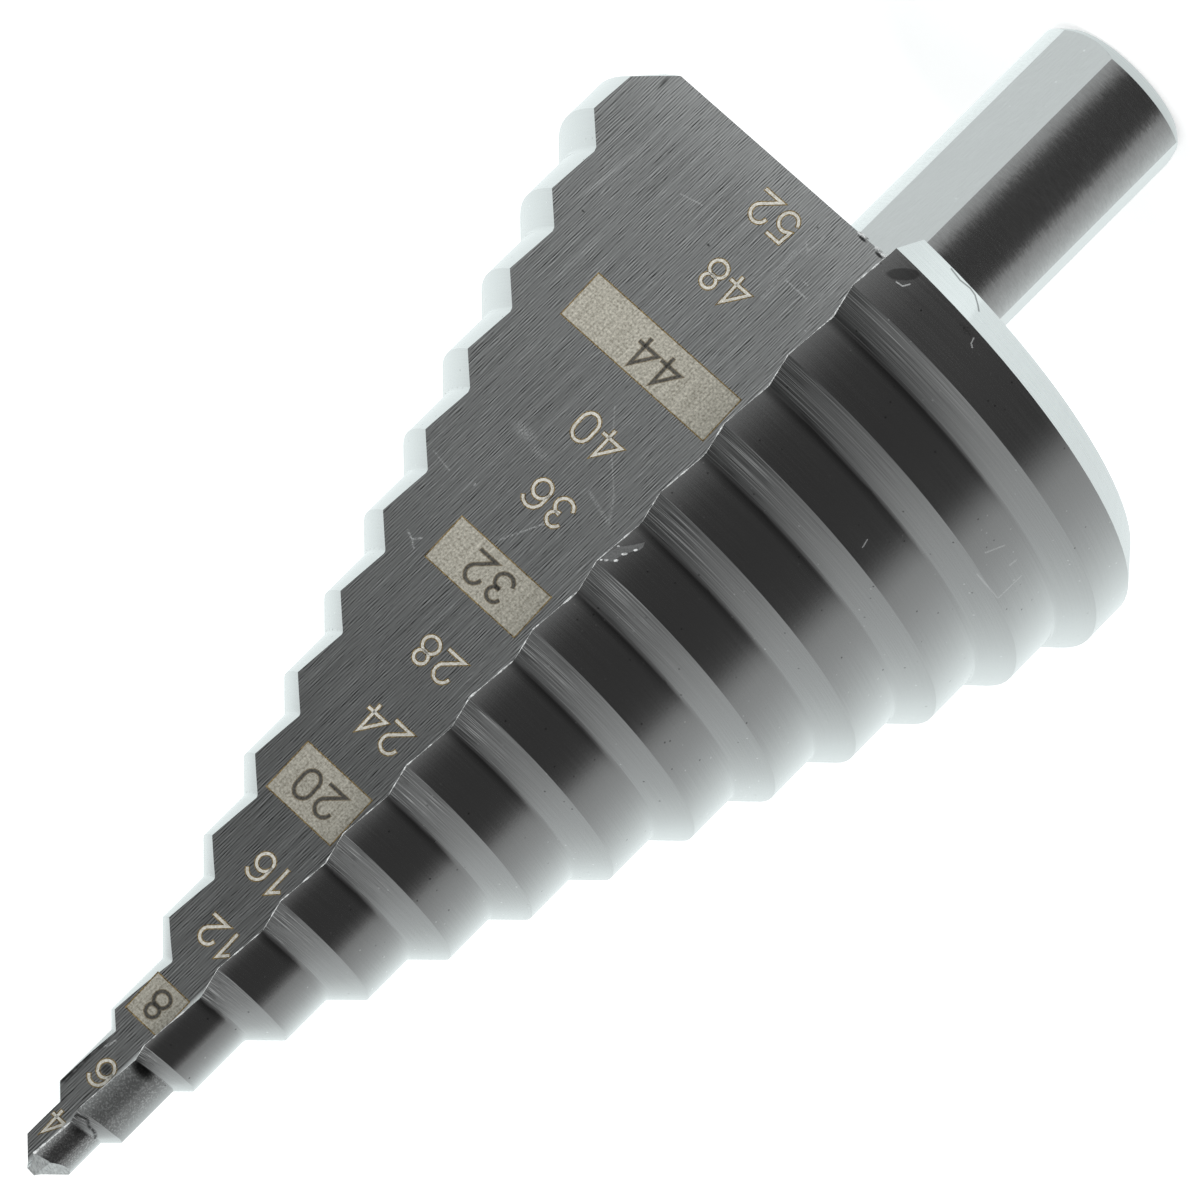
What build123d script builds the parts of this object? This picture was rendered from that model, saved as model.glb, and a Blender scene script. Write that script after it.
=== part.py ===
from build123d import *
import math
import os

# A two-flute step drill, turned and ground from one bar.
# Millimetres, +Z from the shank's end to the point, with the drill's axis on the Z axis.
# Angles are in degrees, and turns are about +Z from +X.

# Shank, with three flats for the chuck's jaws
shank_length = 25.2
shank_diameter = 13.0
shank_end_chamfer = 1.0
shank_end_crown = 0.03
shank_flat_count = 3
shank_flat_depth = 0.47
shank_flat_turn = 60.7

# Steps, from the point to the rim: a shoulder leads to each land
pilot_diameter = 4.0
pilot_shoulder_length = 2.0
pilot_land = 3.0
small_step_rise = 2.0
small_step_count = 2
small_land = 5.0
large_step_rise = 4.0
large_step_count = 11
large_land = 4.0
rim_land = 3.3
shoulder_angle = 45.0
small_root_radius = 0.15
land_root_radius = 0.45

# Turned back of the body
back_chamfer_length = 2.3
back_chamfer_depth = 1.9

# Relief ground behind each lip: there the steps fall back towards the shank
relief_drop = 0.65
relief_angle = 75.0

# Straight V flutes, each ground with a rake face and a wall that carries the sizes
flute_count = 2
lip_turn = -90.0
rake_turn = 13.3
rake_offset = 0.1
rake_taper = -4.5
wall_turn = -83.6
wall_offset = 0.0
wall_taper = 9.9
flute_root_radius = 0.6

# Point, ground with two flat facets behind each lip: one at the lip, a steeper one at the heel
lip_facet_turn = -121.9
lip_facet_offset = -0.38
lip_facet_taper = 59.0
heel_facet_turn = -159.3
heel_facet_offset = 0.014
heel_facet_taper = 43.4

# Solid core that the lands run into, and how far stock and tools run past the work
core_radius = 0.8
core_overlap = 0.4
relief_lead_angle = 28.0
overrun = 15.0


def step_corners():
    """Radius, front and back of every land, measured from the point."""
    steps = [(pilot_diameter / 2, pilot_land)]
    steps += [(steps[0][0] + small_step_rise / 2 * n, small_land) for n in range(1, small_step_count + 1)]
    steps += [(steps[-1][0] + large_step_rise / 2 * n, large_land) for n in range(1, large_step_count + 1)]
    steps[-1] = (steps[-1][0], rim_land)

    corners = []
    depth = pilot_shoulder_length
    previous_radius = pilot_diameter / 2
    for radius, land_length in steps:
        depth += (radius - previous_radius) / math.tan(math.radians(shoulder_angle))
        corners.append((radius, depth, depth + land_length))
        depth += land_length
        previous_radius = radius
    return corners


rim_radius, _, rim_back = step_corners()[-1]
body_length = rim_back + back_chamfer_length
overall_length = shank_length + body_length
stock_bottom = shank_length - overrun
stock_top = overall_length + overrun


def land_section():
    """Half section of the steps in the XZ plane, left long at both ends."""
    inner_radius = core_radius - core_overlap
    pilot_radius = pilot_diameter / 2
    outline = [(inner_radius, stock_top), (pilot_radius, stock_top)]
    roots = []
    for radius, front, back in step_corners():
        if radius > pilot_radius:
            outline.append((radius, overall_length - front))
        if radius < rim_radius:
            outline.append((radius, overall_length - back))
            roots.append(outline[-1])
    outline += [(rim_radius, stock_bottom), (inner_radius, stock_bottom)]
    section = make_face(Polyline(*outline, close=True))
    root_radii = [small_root_radius] * small_step_count + [land_root_radius] * large_step_count
    for root, root_radius in zip(roots, root_radii):
        corner = section.vertices().sort_by_distance((*root, 0))[0]
        section = fillet(corner, root_radius)
    return Plane.XZ * section


def land():
    """One land with its core: the relieved sector behind the lip, then the plain sector."""
    section = land_section()
    land_angle = 360 / flute_count
    relieved_angle = relief_lead_angle + relief_angle
    pitch = relief_drop * 360 / relief_angle
    helix = Helix(pitch, pitch * relieved_angle / 360, rim_radius / 2)
    relieved = sweep(section, path=helix, is_frenet=True)
    plain = revolve(section, Axis.Z, relieved_angle - land_angle)
    half_round = Cylinder(
        core_radius,
        stock_top - stock_bottom,
        arc_size=land_angle,
        align=(Align.NONE, Align.NONE, Align.MIN),
    )
    core = Pos(0, 0, stock_bottom) * Rot(0, 0, relieved_angle - land_angle) * half_round
    return Rot(0, 0, lip_turn - relief_angle) * (relieved + plain + core)


def turned_envelope():
    """All that lies in front of the body's flat back and inside the chamfer behind the rim."""
    back_radius = rim_radius - back_chamfer_depth
    slope = back_chamfer_length / back_chamfer_depth
    outer_radius = 2 * rim_radius
    outline = Polyline(
        (0, shank_length),
        (back_radius, shank_length),
        (outer_radius, shank_length + slope * (outer_radius - back_radius)),
        (outer_radius, stock_top),
        (0, stock_top),
        close=True,
    )
    return revolve(Plane.XZ * make_face(outline), Axis.Z)


def outside_of_face(turn, offset, taper):
    """Stock outside a ground face, which looks along the turn and leans towards the point by the taper."""
    outward = Vector(1, 0, 0).rotate(Axis.Z, turn)
    at_point = outward * offset + Vector(0, 0, overall_length)
    normal = outward + Vector(0, 0, math.tan(math.radians(taper)))
    size = 4 * (overall_length + overrun)
    stock = Box(size, size, size, align=(Align.CENTER, Align.CENTER, Align.MIN))
    return Plane(origin=at_point, z_dir=normal) * stock


def flute():
    """Wedge between a rake face and a wall, with a rounded root."""
    rake_side = outside_of_face(rake_turn, rake_offset, rake_taper)
    wall_side = outside_of_face(wall_turn, wall_offset, wall_taper)
    wedge = rake_side & wall_side
    root = wedge.edges().sort_by_distance((0, 0, stock_top))[0]
    return fillet(root, flute_root_radius)


def shank():
    """Round shank with its flats and a slightly crowned end chamfer, run a little way into the body."""
    radius = shank_diameter / 2
    top = shank_length + core_radius
    chamfer_start = (radius - shank_end_chamfer, 0)
    chamfer_end = (radius, shank_end_chamfer)
    outline = Polyline(chamfer_end, (radius, top), (0, top), (0, 0), chamfer_start)
    outline += SagittaArc(chamfer_start, chamfer_end, -shank_end_crown)
    bar = revolve(Plane.XZ * make_face(outline), Axis.Z)
    flat = Pos(radius - shank_flat_depth, 0, 0) * Box(
        shank_diameter,
        shank_diameter,
        2 * shank_length,
        align=(Align.MIN, Align.CENTER, Align.CENTER),
    )
    for index in range(shank_flat_count):
        bar -= Rot(0, 0, shank_flat_turn + index * 360 / shank_flat_count) * flat
    return bar


def step_drill():
    """The whole drill: equal lands about the axis, and the shank."""
    turns = [Rot(0, 0, index * 360 / flute_count) for index in range(flute_count)]
    ground_land = land() & turned_envelope()
    for turn in turns:
        ground_land -= turn * flute()
        ground_land -= turn * outside_of_face(lip_facet_turn, lip_facet_offset, lip_facet_taper)
        ground_land -= turn * outside_of_face(heel_facet_turn, heel_facet_offset, heel_facet_taper)

    drill = shank()
    for turn in turns:
        drill += turn * ground_land
    return drill


os.makedirs("parts", exist_ok=True)
export_step(step_drill(), "parts/step_drill.step")
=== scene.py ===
import math

import bmesh
import bpy
from mathutils import Matrix, Vector, noise


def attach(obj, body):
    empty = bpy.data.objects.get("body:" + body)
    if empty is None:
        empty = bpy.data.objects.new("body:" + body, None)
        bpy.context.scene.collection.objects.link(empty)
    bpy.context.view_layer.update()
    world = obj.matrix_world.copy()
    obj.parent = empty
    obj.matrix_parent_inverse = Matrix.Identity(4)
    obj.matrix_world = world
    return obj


# A stepped, two-flute drill that stands on the end of its shank, seen over its numbered flute wall.
# The drill is described in millimetres from its point, as in its CAD source, and built in metres.
# Angles are in degrees, and turns are about +Z from +X.

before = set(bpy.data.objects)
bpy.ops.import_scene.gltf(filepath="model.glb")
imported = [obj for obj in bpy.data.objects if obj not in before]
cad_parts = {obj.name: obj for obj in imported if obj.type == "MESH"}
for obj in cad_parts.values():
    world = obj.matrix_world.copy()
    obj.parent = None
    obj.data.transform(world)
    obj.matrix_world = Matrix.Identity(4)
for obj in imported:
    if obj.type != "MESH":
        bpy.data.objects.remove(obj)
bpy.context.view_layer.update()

MM = 0.001
BODY = "root"
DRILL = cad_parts["step_drill"]

# Shank, and steps from the point to the rim: (radius, front, back) of every land
OVERALL = 109.8
SHANK_LENGTH = 25.2
SHANK_RADIUS = 6.5
RIM_RADIUS = 26.0
BACK_CHAMFER_FRONT = 82.3
LANDS = [(2.0, 2.0, 5.0), (3.0, 6.0, 11.0), (4.0, 12.0, 17.0)]
LANDS += [(6.0 + 2.0 * n, 19.0 + 6.0 * n, 23.0 + 6.0 * n) for n in range(11)]
LIP_FRONT = 1.07
FIRST_ROOT = 5.0
STEP_PITCH = 6.0

# Relief behind each lip, and how far a land reaches from it
RELIEF_DROP = 0.65
RELIEF_ANGLE = 75.0
LAND_MIDDLE = -147.75
LAND_HALF_ANGLE = 57.75

# How surfaces turned about the axis lean towards the point, as the height of their unit normal
SHOULDER_LEAN = math.sqrt(0.5)

# Flute faces and facets of the point: where each one looks, and how it leans towards the point.
# POINT_BACK is past the end of all the facets.
RAKE_TURN = 13.3
RAKE_OFFSET = 0.1
RAKE_TAPER = -4.5
WALL_TURN = -83.6
WALL_TAPER = 9.9
LIP_FACET_TURN = -121.9
LIP_FACET_TAPER = 59.0
HEEL_FACET_TURN = -159.3
HEEL_FACET_TAPER = 43.4
POINT_BACK = 4.0

# How a face is known: margins round the shank, leans of the end, flats, back and chamfer, and how
# closely a normal has to follow a ground face's look or the turned radius
FACE_MARGIN = 0.05
SHANK_MARGIN = 0.2
END_LEAN = 0.3
LEVEL_LEAN = 0.01
BACK_LEAN = 0.95
CHAMFER_LEAN = 0.35
SAME_LOOK = 0.999
TURNED_LOOK = 0.95

# Camera: place, lens and sensor are in millimetres, and how near and far it sees in metres
CAMERA_PLACE = Vector((-60.30, -472.45, 155.52))
CAMERA_RIGHT = Vector((-0.71883, -0.05774, -0.69279))
CAMERA_UP = Vector((0.68400, -0.23684, -0.68997))
CAMERA_LENS = 209.35
CAMERA_SENSOR = 36.0
CAMERA_NEAR = 0.01
CAMERA_FAR = 50.0

# Studio: brightness by the turn away from its darkest side, and how much of it the sky has from
# nadir (0) to zenith (1). The rest of the sky has the brightness of its two ends.
DARK_SIDE = 237.7
STUDIO_RING = (
    (0.0, 0.044),
    (24.0, 0.047),
    (33.0, 0.08),
    (38.5, 0.155),
    (43.0, 0.26),
    (52.0, 0.33),
    (66.0, 0.41),
    (82.0, 0.55),
    (98.0, 0.75),
    (112.0, 0.93),
    (128.0, 1.07),
    (146.0, 1.12),
    (160.0, 1.14),
)
STUDIO_HEIGHTS = (
    (0.02, 0.0),
    (0.25, 1.0),
    (0.60, 1.0),
    (0.67, 0.8),
    (0.79, 0.55),
    (0.89, 0.50),
    (0.985, 0.0),
)
STUDIO_ZENITH = 0.30
STUDIO_NADIR = 1.1

# Lamp, whose turn, height and softness are angles, and floor, whose size is in metres
LAMP_STRENGTH = 1.7
LAMP_TURN = 250.0
LAMP_HEIGHT = 52.0
LAMP_SOFTNESS = 50.0
FLOOR_SIZE = 12.0
FLOOR_WHITE = 0.9
FLOOR_GLOW = 0.55

# Finishes: tint and brightness of the steel, the slant of the walls' grinding lines, and the numbers
# that make the patterns of one land and one wall differ from the other's
STEEL_TINT = (0.985, 1.0, 0.997)
STEEL = 0.62
DARKEST = 0.01
BRIGHTEST = 0.97
LINE_SLANT = 0.06
LAND_SEED = 7.0
WALL_SEED = 11.0

# Scratches on the near wall: places (outward, millimetres from the point), width, strength
WALL_SCRATCHES = (
    ([(11.25, 49.1), (10.6, 48.85)], 0.12, 1.0),
    ([(10.15, 49.35), (10.6, 48.85), (10.1, 48.5)], 0.12, 1.0),
    ([(4.39, 55.77), (5.2, 54.3)], 0.10, 1.0),
    ([(5.2, 54.3), (6.02, 52.79)], 0.14, 0.5),
    ([(6.44, 64.76), (4.35, 62.26), (2.13, 60.16)], 0.10, 0.40),
    ([(2.13, 60.16), (1.14, 58.58), (3.61, 59.3)], 0.22, 0.35),
    ([(2.15, 9.76), (1.98, 10.09), (1.87, 10.47)], 0.16, 1.0),
    ([(13.71, 54.29), (12.0, 54.02)], 0.10, 0.5),
    ([(13.26, 78.55), (11.63, 78.94)], 0.10, 0.7),
    ([(3.64, 78.88), (1.70, 78.87)], 0.11, 0.9),
    ([(2.83, 79.64), (2.21, 79.61)], 0.10, 0.8),
    ([(4.41, 81.77), (3.86, 81.27), (3.71, 82.84)], 0.10, 0.7),
    ([(4.0, 77.03), (4.33, 79.38), (4.48, 80.54), (3.99, 81.36)], 0.38, 0.28),
)
# Scuffs, nicks, dark pits and painted lump shadows on the near wall: centre, half width, half length,
# strength, hard share
WALL_SCUFFS = (
    ((9.9, 59.4), 1.5, 0.7, 0.45),
    ((8.2, 59.0), 1.3, 0.5, 0.30),
    ((9.91, 81.69), 0.15, 0.11, 1.0),
    ((9.97, 54.5), 0.11, 0.25, 1.0),
    ((0.19, 77.17), 0.14, 0.12, 0.8),
)
WALL_PITS_AND_LUMP_SHADOWS = (
    ((9.36, 77.18), 0.22, 0.13, 1.0),
    ((17.58, 73.24), 0.25, 0.10, 1.0),
    ((4.51, 82.99), 0.12, 0.12, 0.9),
    ((19.62, 83.5), 0.22, 1.0, 0.8),
    ((0.98, 8.70), 0.50, 0.50, 0.7, 0.4),
    # Painted shadows under the torn lumps on the wall's back edge
    ((1.65, 84.42), 0.50, 0.14, 1.0, 0.4),
    ((0.0, 84.34), 0.50, 0.16, 1.0, 0.4),
)
WALL_STAIN = [(2.75, 6.3), (2.62, 8.2), (2.5, 10.2)]
WALL_STAIN_WIDTH = 0.55
# A painted highlight along a step in the grind on the near wall, along part of a circle
STEP_HIGHLIGHT_CENTRE = (45.4, 81.0)
STEP_HIGHLIGHT_RADIUS = 28.0

# Scratches on the near land: places (millimetres behind the lip, from the point), width, strength
LAND_SCRATCHES = (
    ([(2.0, 80.60), (2.5, 80.70), (2.75, 81.15)], 0.08, 0.9),
    ([(8.35, 81.80), (8.48, 81.42), (8.75, 81.27)], 0.08, 0.7),
    ([(20.5, 73.85), (21.3, 75.30)], 0.10, 0.35),
    ([(24.75, 73.05), (24.85, 75.35)], 0.09, 0.35),
    ([(23.1, 74.95), (23.2, 75.50)], 0.14, 0.3),
    ([(21.4, 72.60), (24.6, 72.98)], 0.08, 0.3),
    ([(12.75, 68.2), (12.9, 67.6)], 0.09, 0.7),
)
# A stain and a smudge on the near rim land, in the same measures
RIM_STAIN = (1.975, 81.325)
RIM_SMUDGE = (7.6, 81.8)
# A painted shade along the pilot's concave root, and a painted dark line along the edge of the wheel's
# facet on the chamfer: (degrees behind the lip, millimetres from the point), and how long a degree is
# there
PILOT_ROOT_SHADE = [(-8.0, 4.84), (2.1, 5.04), (10.5, 5.19), (22.7, 4.98), (35.9, 5.01), (55.0, 4.84)]
PILOT_ROOT_SHADE_DEGREE = 0.044
WHEEL_FACET_EDGE = [(8.9, 84.45), (11.1, 84.31), (13.2, 84.47), (14.5, 84.37), (15.8, 83.95), (16.5, 83.64)]
WHEEL_FACET_EDGE_DEGREE = 0.43

# Size marks on the flute wall: text, left edge, top edge, height and slimness. Left is nearest the lip.
MARKS = (
    ("4", 0.50, 2.78, 1.82, 0.80),
    ("6", 0.30, 7.35, 1.95, 1.0),
    ("8", 0.72, 13.20, 2.00, 1.0),
    ("12", 0.00, 19.30, 1.95, 1.0),
    ("16", 0.40, 24.70, 2.05, 1.0),
    ("20", 1.50, 30.80, 2.15, 1.0),
    ("24", 1.15, 36.95, 2.15, 1.0),
    ("28", 1.80, 42.90, 2.15, 1.0),
    ("32", 2.95, 49.30, 2.20, 1.0),
    ("36", 3.45, 55.80, 2.20, 1.0),
    ("40", 4.05, 61.30, 2.20, 1.0),
    ("44", 4.50, 67.60, 2.20, 1.0),
    ("48", 4.80, 74.85, 2.20, 1.0),
    ("52", 5.50, 80.45, 2.20, 1.0),
)
# Marks on a pale field: left, right, top and bottom edge of the field
FIELDS = {
    "8": (-0.10, 2.95, 12.60, 15.80),
    "20": (0.10, 6.25, 29.90, 34.05),
    "32": (0.55, 9.10, 48.60, 52.30),
    "44": (0.20, 13.75, 67.00, 70.80),
}
DIGIT_ADVANCE = {"1": 0.74, "4": 0.95}
USUAL_ADVANCE = 0.90
# Widths of strokes and edges, thickness of a layer, degrees to a piece of an arc, how far a stroke
# goes past its end in half widths, and the least share that a mitre is divided by
STROKE_WIDTH = 0.20
STROKE_EDGE_WIDTH = 0.36
DARK_STROKE_WIDTH = 0.22
DARK_STROKE_EDGE_WIDTH = 0.34
FIELD_EDGE_WIDTH = 0.09
LAYER = 0.004
ARC_STEP = 12
STROKE_CAP = 0.6
MITRE_LIMIT = 0.35

# Burr along a lip: spacing of its sections, their sides, its thinnest and how much it swells, there
# and over the last stretch before the point
BURR_SPACING = 0.3
BURR_SIDES = 5
BURR_THIN = 0.012
BURR_SWELL = 0.08
POINT_SWELL = 0.05
POINT_SWELL_START = 4.0
POINT_SWELL_RUN = 1.5

# Torn metal. The flake's outline on the near land is (degrees behind the lip, millimetres from the
# point), and its beads have their half length and half width after that. The lumps on the flute
# wall's back edge are (outward, millimetres from the point, half length, half width).
LIP_TURN = -90.0
CHIP_RADIUS = 18.0
CHIP_THICKNESS = 0.03
CHIP_OUTLINE = (
    (0.5, 54.55),
    (1.3, 54.75),
    (2.3, 54.95),
    (3.0, 55.25),
    (2.9, 55.60),
    (3.3, 56.00),
    (4.2, 56.55),
    (5.0, 56.95),
    (5.1, 57.25),
    (4.6, 57.60),
    (3.8, 57.15),
    (2.7, 56.65),
    (1.9, 56.30),
    (1.3, 56.10),
    (0.9, 55.55),
)
CHIP_BEAD_RUN = Vector((-0.6, -0.1, -0.8))
CHIP_BEADS = (
    (0.7, 54.62, 0.10, 0.05),
    (1.5, 54.85, 0.16, 0.08),
    (3.0, 55.28, 0.17, 0.09),
    (3.3, 56.02, 0.24, 0.09),
    (4.4, 56.75, 0.16, 0.08),
    (1.2, 56.12, 0.10, 0.06),
)
BACK_BURR_RUN = Vector((1, 0, 0.25))
BACK_BURR = (
    (1.95, 84.62, 0.30, 0.11),
    (1.50, 84.66, 0.22, 0.08),
    (0.40, 84.60, 0.22, 0.12),
    (0.05, 84.56, 0.24, 0.13),
    (-0.28, 84.53, 0.24, 0.12),
)
LUMP_UNEVENNESS = 0.02


class Signal:
    """A number that varies over a surface: nodes work it out, and it is written as arithmetic."""

    def __init__(self, tree, socket):
        self.tree = tree
        self.socket = socket

    def math(self, operation, *others):
        values = [self.socket] + [plain(other) for other in others]
        made = add(self.tree, "ShaderNodeMath", dict(enumerate(values)), operation=operation)
        return Signal(self.tree, made.outputs[0])

    def __add__(self, other):
        return self.math("ADD", other)

    def __sub__(self, other):
        return self.math("SUBTRACT", other)

    def __mul__(self, other):
        return self.math("MULTIPLY", other)

    def __truediv__(self, other):
        return self.math("DIVIDE", other)

    def __neg__(self):
        return self.math("MULTIPLY", -1.0)

    def __rsub__(self, other):
        return -self + other

    __radd__ = __add__
    __rmul__ = __mul__

    def limit(self, low, high):
        return self.math("MAXIMUM", low).math("MINIMUM", high)

    def fade(self, start, end, at_start, at_end, smooth=True):
        """Goes from one value to another while this goes from start to end, and stays there."""
        inputs = {
            "Value": self.socket,
            "From Min": start,
            "From Max": end,
            "To Min": plain(at_start),
            "To Max": plain(at_end),
        }
        kind = "SMOOTHSTEP" if smooth else "LINEAR"
        made = add(self.tree, "ShaderNodeMapRange", inputs, interpolation_type=kind)
        return Signal(self.tree, made.outputs["Result"])

    def colours(self, *stops):
        """A colour for every value: stops are (value from 0 to 1, grey or colour)."""
        made = add(self.tree, "ShaderNodeValToRGB", {"Fac": self.socket})
        elements = made.color_ramp.elements
        while len(elements) < len(stops):
            elements.new(1.0)
        for element, (place, colour) in zip(elements, stops):
            element.position = place
            element.color = (*colour, 1.0) if isinstance(colour, tuple) else (colour,) * 3 + (1.0,)
        return made.outputs["Color"]


def plain(value):
    return value.socket if isinstance(value, Signal) else value


def add(tree, kind, inputs=None, **settings):
    """A shader node with its settings, and its sockets' values or links."""
    made = tree.nodes.new(kind)
    for name, value in settings.items():
        setattr(made, name, value)
    for name, value in (inputs or {}).items():
        if isinstance(value, bpy.types.NodeSocket):
            tree.links.new(value, made.inputs[name])
        else:
            made.inputs[name].default_value = value
    return made


def split(tree, vector):
    axes = add(tree, "ShaderNodeSeparateXYZ", {0: vector})
    return [Signal(tree, axes.outputs[index]) for index in range(3)]


def join(tree, x, y, z):
    return add(tree, "ShaderNodeCombineXYZ", {0: plain(x), 1: plain(y), 2: plain(z)}).outputs[0]


def tinted(tree, grey, tint):
    """A colour made of a grey and a share for each of red, green and blue."""
    inputs = {index: plain(grey * share) for index, share in enumerate(tint)}
    return add(tree, "ShaderNodeCombineColor", inputs).outputs[0]


def grain(tree, x, y, z, detail=2.0):
    """Noise from 0 to 1 whose grains are about one unit of x, y and z across."""
    inputs = {"Vector": join(tree, x, y, z), "Scale": 1.0, "Detail": detail, "Roughness": 0.6}
    return Signal(tree, add(tree, "ShaderNodeTexNoise", inputs).outputs[0])


def swing(tree, x, y, z, detail=2.0):
    """Noise from -1 to 1 with strong contrast."""
    return grain(tree, x, y, z, detail).fade(0.34, 0.66, -1.0, 1.0, smooth=False)


def dots(tree, x, y, z, size):
    """One soft dot in some of the unit cells of x, y and z: 1 at its middle, and 0 past its size."""
    cells = add(tree, "ShaderNodeTexVoronoi", {"Vector": join(tree, x, y, z), "Scale": 1.0})
    return Signal(tree, cells.outputs["Distance"]).fade(0.0, size, 1.0, 0.0)


def line(u, v, start, end, width, strength=1.0):
    """A scratch from start to end on a surface measured by u and v, fading over its width."""
    run = Vector(end) - Vector(start)
    length = run.length
    along = (u - start[0]) * (run.x / length) + (v - start[1]) * (run.y / length)
    across = (v - start[1]) * (run.x / length) - (u - start[0]) * (run.y / length)
    past_ends = along - along.limit(0.0, length)
    distance = (across * across + past_ends * past_ends).math("SQRT")
    return distance.fade(0.0, width, strength, 0.0)


def path(u, v, places, width, strength=1.0):
    """Scratches that join a row of places."""
    return most([line(u, v, start, end, width, strength) for start, end in zip(places, places[1:])])


def spot(u, v, centre, half_u, half_v, strength=1.0, hard=0.0):
    """An oval patch, solid out to the hard share of its size."""
    a = (u - centre[0]) / half_u
    b = (v - centre[1]) / half_v
    return (a * a + b * b).math("SQRT").fade(hard, 1.0, strength, 0.0)


def most(signals):
    """The strongest of several marks, which are 0 where there is none."""
    best = signals[0]
    for other in signals[1:]:
        best = best.math("MAXIMUM", other)
    return best


def new_material(name):
    material = bpy.data.materials.new(name)
    material.use_nodes = True
    tree = material.node_tree
    tree.nodes.clear()
    return material, tree


def finish(tree, colour, metallic, roughness, height, depth, normal=None):
    """Gives a material its look, with a fine relief of height, whose depth is in mm."""
    relief_inputs = {"Height": plain(height), "Distance": depth * MM, "Strength": 1.0}
    if normal is not None:
        relief_inputs["Normal"] = normal
    relief = add(tree, "ShaderNodeBump", relief_inputs)
    inputs = {
        "Base Color": colour,
        "Metallic": metallic,
        "Roughness": plain(roughness),
        "Normal": relief.outputs[0],
    }
    shader = add(tree, "ShaderNodeBsdfPrincipled", inputs)
    output = add(tree, "ShaderNodeOutputMaterial")
    tree.links.new(shader.outputs[0], output.inputs["Surface"])


def steel_colour(tree, tone):
    """The steel's tint at a tone, kept within what steel can have."""
    return tinted(tree, tone.limit(DARKEST, BRIGHTEST), STEEL_TINT)


def finish_metal(tree, tone, roughness, height, depth, normal=None):
    finish(tree, steel_colour(tree, tone), 1.0, roughness, height, depth, normal)


def place_in_mm(tree):
    place = add(tree, "ShaderNodeTexCoord").outputs["Object"]
    scaled = add(tree, "ShaderNodeVectorMath", {0: place, "Scale": 1 / MM}, operation="SCALE")
    return split(tree, scaled.outputs[0])


def place_on_land(tree):
    """Degrees behind the lip, millimetres from the point, radius, and a number for each land."""
    x, y, z = place_in_mm(tree)
    middle = math.radians(LAND_MIDDLE)
    towards = x * math.cos(middle) + y * math.sin(middle)
    aside = y * math.cos(middle) - x * math.sin(middle)
    turn = (aside / towards).math("ARCTANGENT") * math.degrees(1.0)
    radius = (x * x + y * y).math("SQRT")
    return LAND_HALF_ANGLE - turn, OVERALL - z, radius, towards.math("SIGN") * LAND_SEED


def place_on_wall(tree):
    """Millimetres outward along the flute wall, millimetres from the point, and which wall."""
    x, y, z = place_in_mm(tree)
    wall = math.radians(WALL_TURN)
    side = (x * math.cos(wall) + y * math.sin(wall)).math("SIGN")
    outward = (y * math.cos(wall) - x * math.sin(wall)) * side
    return outward, OVERALL - z, side * WALL_SEED


def seen_lean(tree):
    """How the surface leans towards the point, as the height of its unit normal."""
    return split(tree, add(tree, "ShaderNodeNewGeometry").outputs["Normal"])[2]


def turned_normal(tree, lean, slip=0.0):
    """Normal of a surface turned about the axis, worked out from its place so that it has no seams."""
    x, y, _ = place_in_mm(tree)
    radius = (x * x + y * y).math("SQRT")
    level = (1.0 - lean * lean).math("SQRT")
    across = (x * level - y * slip) / radius
    along = (y * level + x * slip) / radius
    whole = {0: join(tree, across, along, lean)}
    return add(tree, "ShaderNodeVectorMath", whole, operation="NORMALIZE").outputs[0]


# Camera and studio


def make_camera():
    data = bpy.data.cameras.new("camera")
    data.lens = CAMERA_LENS
    data.sensor_width = CAMERA_SENSOR
    data.clip_start = CAMERA_NEAR
    data.clip_end = CAMERA_FAR
    camera = bpy.data.objects.new("camera", data)
    bpy.context.scene.collection.objects.link(camera)
    back = CAMERA_RIGHT.cross(CAMERA_UP)
    turn = Matrix((CAMERA_RIGHT, CAMERA_UP, back)).transposed().to_4x4()
    camera.matrix_world = Matrix.Translation(CAMERA_PLACE * MM) @ turn
    bpy.context.scene.camera = camera


def make_world():
    """A soft studio round the drill: pale behind it, dark on one side. The camera sees plain white."""
    world = bpy.data.worlds.new("studio")
    bpy.context.scene.world = world
    world.use_nodes = True
    tree = world.node_tree
    tree.nodes.clear()
    x, y, z = split(tree, add(tree, "ShaderNodeTexCoord").outputs["Generated"])
    dark = math.radians(DARK_SIDE)
    level = (x * x + y * y).math("SQRT").math("MAXIMUM", 0.001)
    towards_dark = (x * math.cos(dark) + y * math.sin(dark)) / level
    turn = towards_dark.limit(-1.0, 1.0).math("ARCCOSINE") / math.pi
    ring = turn.colours(*[(degrees / 180, brightness) for degrees, brightness in STUDIO_RING])
    ends = (z * 10.0).fade(-1.0, 1.0, STUDIO_NADIR, STUDIO_ZENITH)
    share = Signal(tree, ((z + 1.0) / 2).colours(*STUDIO_HEIGHTS))
    around = Signal(tree, ring) * share + ends * (1.0 - share)
    cool = around.fade(0.05, 0.5, 1.02, 0.965, smooth=False)
    cool = cool + around.fade(0.5, 1.1, 0.0, -0.04, smooth=False)
    rays = add(tree, "ShaderNodeLightPath")
    seen = Signal(tree, rays.outputs["Is Camera Ray"])
    pale = seen + around * (1.0 - seen)
    pale_red = seen + around * cool * (1.0 - seen)
    colour = add(tree, "ShaderNodeCombineColor", {0: plain(pale_red), 1: plain(pale), 2: plain(pale)})
    background = add(tree, "ShaderNodeBackground", {"Color": colour.outputs[0], "Strength": 1.0})
    output = add(tree, "ShaderNodeOutputWorld")
    tree.links.new(background.outputs[0], output.inputs["Surface"])


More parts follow.
